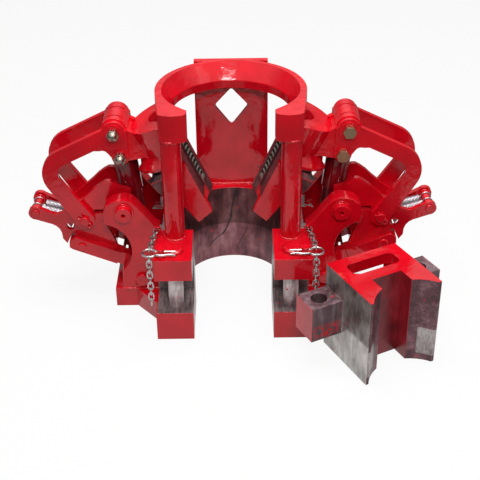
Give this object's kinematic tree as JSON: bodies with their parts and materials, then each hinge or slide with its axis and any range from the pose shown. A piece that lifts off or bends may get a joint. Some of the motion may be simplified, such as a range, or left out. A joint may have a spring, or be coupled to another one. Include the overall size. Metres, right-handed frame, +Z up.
{
  "type": "pneumatic pipe spider",
  "caption": "U-shaped bowl with a side throat, a guard ring on two posts, wedge slips on air-driven swing arms and a removable pinned gate.",
  "frame": {"origin": "on the bore's axis, on the face that the body stands on", "axes": "+Z up along the bore, +Y away from the throat, +X to the right as seen from the throat"},
  "size_m": [0.767, 0.4858, 0.422],
  "materials": {
    "red_enamel": "glossy enamel",
    "painted_pins": "glossy enamel over steel",
    "body_casting": "glossy red enamel, bare machined bore",
    "slip_casting": "red enamel, bare machined face and back",
    "gate_casting": "red enamel, bare machined lugs and wings",
    "die_steel": "black oxide, machined teeth",
    "pin_steel": "machined, light wear",
    "spring_steel": "drawn wire, dull",
    "wire_steel": "bright wire",
    "chain_steel": "bright zinc",
    "zinc_bolts": "yellow zinc plate"
  },
  "bodies": {
    "spider": {"bowl_body": "body_casting", "guard_ring": "red_enamel", "post_left": "red_enamel", "post_right": "red_enamel", "back_plate": "red_enamel", "keeper_stubs": "red_enamel", "chain_eyes": "red_enamel", "cheek_front_left": "red_enamel", "cheek_rear_left": "red_enamel", "cheek_front_right": "red_enamel", "cheek_rear_right": "red_enamel", "stub_shafts_left": "painted_pins", "stub_shafts_right": "painted_pins", "outrigger_left": "red_enamel", "outrigger_right": "red_enamel", "side_plates_left": "red_enamel", "side_plates_right": "red_enamel", "spring_bar_left": "red_enamel", "spring_bar_right": "red_enamel", "trunnion_pin_left": "red_enamel", "trunnion_pin_right": "red_enamel", "springs_left": "spring_steel", "springs_right": "spring_steel", "chain_left": "chain_steel", "chain_right": "chain_steel"},
    "slip_arm_left": {"arm_front_left": "red_enamel", "arm_rear_left": "red_enamel", "head_left": "red_enamel", "head_bolts_left": "zinc_bolts", "pivot_pin_left": "red_enamel", "spring_crank_left": "red_enamel", "slip_left": "slip_casting", "die_left": "die_steel"},
    "cylinder_left": {"barrel_left": "red_enamel"},
    "piston_left": {"rod_left": "pin_steel", "rod_cover_left": "red_enamel"},
    "gate_pin_left": {"gate_pin_left": "pin_steel"},
    "clip_left": {"clip_left": "wire_steel"},
    "slip_arm_right": {"arm_front_right": "red_enamel", "arm_rear_right": "red_enamel", "head_right": "red_enamel", "head_bolts_right": "zinc_bolts", "pivot_pin_right": "red_enamel", "spring_crank_right": "red_enamel", "slip_right": "slip_casting", "die_right": "die_steel"},
    "cylinder_right": {"barrel_right": "red_enamel"},
    "piston_right": {"rod_right": "pin_steel", "rod_cover_right": "red_enamel"},
    "gate_pin_right": {"gate_pin_right": "pin_steel"},
    "clip_right": {"clip_right": "wire_steel"},
    "gate": {"gate": "gate_casting"}
  },
  "joints": [
    {"name": "slip_arm_left_swing", "type": "hinge", "parent": "spider", "child": "slip_arm_left", "pos_m": [-0.277, 0, 0.173], "axis": [0, 1, 0], "range_deg": [0, 24.5], "deforming": ["springs_left"]},
    {"name": "cylinder_left_tilt", "type": "hinge", "parent": "spider", "child": "cylinder_left", "pos_m": [-0.173, 0, 0.062], "axis": [0, 1, 0], "range_deg": [0, 12.27]},
    {"name": "piston_left_stroke", "type": "slide", "parent": "cylinder_left", "child": "piston_left", "axis": [-0.1145, 0, 0.9934], "range_m": [-0.04412, 0]},
    {"name": "slip_arm_right_swing", "type": "hinge", "parent": "spider", "child": "slip_arm_right", "pos_m": [0.277, 0, 0.173], "axis": [0, -1, 0], "range_deg": [0, 24.5], "deforming": ["springs_right"]},
    {"name": "cylinder_right_tilt", "type": "hinge", "parent": "spider", "child": "cylinder_right", "pos_m": [0.173, 0, 0.062], "axis": [0, -1, 0], "range_deg": [0, 12.27]},
    {"name": "piston_right_stroke", "type": "slide", "parent": "cylinder_right", "child": "piston_right", "axis": [0.1145, 0, 0.9934], "range_m": [-0.04412, 0]},
    {"name": "gate_pin_left_lift", "type": "slide", "parent": "spider", "child": "gate_pin_left", "axis": [0, 0, 1], "range_m": [0, 0.175]},
    {"name": "clip_left_pull", "type": "slide", "parent": "spider", "child": "clip_left", "axis": [-1, 0, 0], "range_m": [0, 0.045], "deforming": ["chain_left"]},
    {"name": "gate_pin_right_lift", "type": "slide", "parent": "spider", "child": "gate_pin_right", "axis": [0, 0, 1], "range_m": [0, 0.175]},
    {"name": "clip_right_pull", "type": "slide", "parent": "spider", "child": "clip_right", "axis": [1, 0, 0], "range_m": [0, 0.045], "deforming": ["chain_right"]},
    {"name": "gate_lift", "type": "slide", "parent": "spider", "child": "gate", "axis": [0, 0, 1], "range_m": [0, 0.2]}
  ],
  "couplings": [
    {"joint": "cylinder_left_tilt", "follows": "slip_arm_left_swing", "ratio": 0.5006},
    {"joint": "piston_left_stroke", "follows": "slip_arm_left_swing", "m_per_rad": -0.10295},
    {"joint": "cylinder_right_tilt", "follows": "slip_arm_right_swing", "ratio": 0.5006},
    {"joint": "piston_right_stroke", "follows": "slip_arm_right_swing", "m_per_rad": -0.10295}
  ]
}
